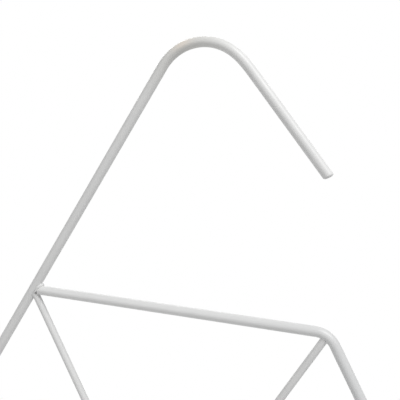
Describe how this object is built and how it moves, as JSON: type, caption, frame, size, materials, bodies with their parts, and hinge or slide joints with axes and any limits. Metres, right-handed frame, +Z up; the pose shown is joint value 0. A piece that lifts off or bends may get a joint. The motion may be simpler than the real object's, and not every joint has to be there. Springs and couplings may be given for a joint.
{
  "type": "coat hanger",
  "caption": "Flat coat hanger of welded round steel bar: equal triangles under a wide open hook that continues the left side.",
  "frame": {"origin": "the point under the crown of the hook that rests on a rail", "axes": "+X to the right along the beam, +Y away from a viewer who sees the hook open to the right, +Z up; the frame lies in the XZ plane"},
  "size_m": [0.386, 0.0078, 0.3466],
  "materials": {
    "frame_coat": "satin off-white powder coat on round steel bar",
    "brace_coat": "satin off-white powder coat on thinner round steel bar",
    "weld_coat": "satin off-white powder coat over a weld bead"
  },
  "bodies": {
    "root": {"frame_rod": "frame_coat", "left_brace": "brace_coat", "right_brace": "brace_coat", "beam_weld": "weld_coat", "left_brace_top_weld": "weld_coat", "right_brace_top_weld": "weld_coat", "left_brace_foot_weld": "weld_coat", "right_brace_foot_weld": "weld_coat"}
  },
  "joints": []
}
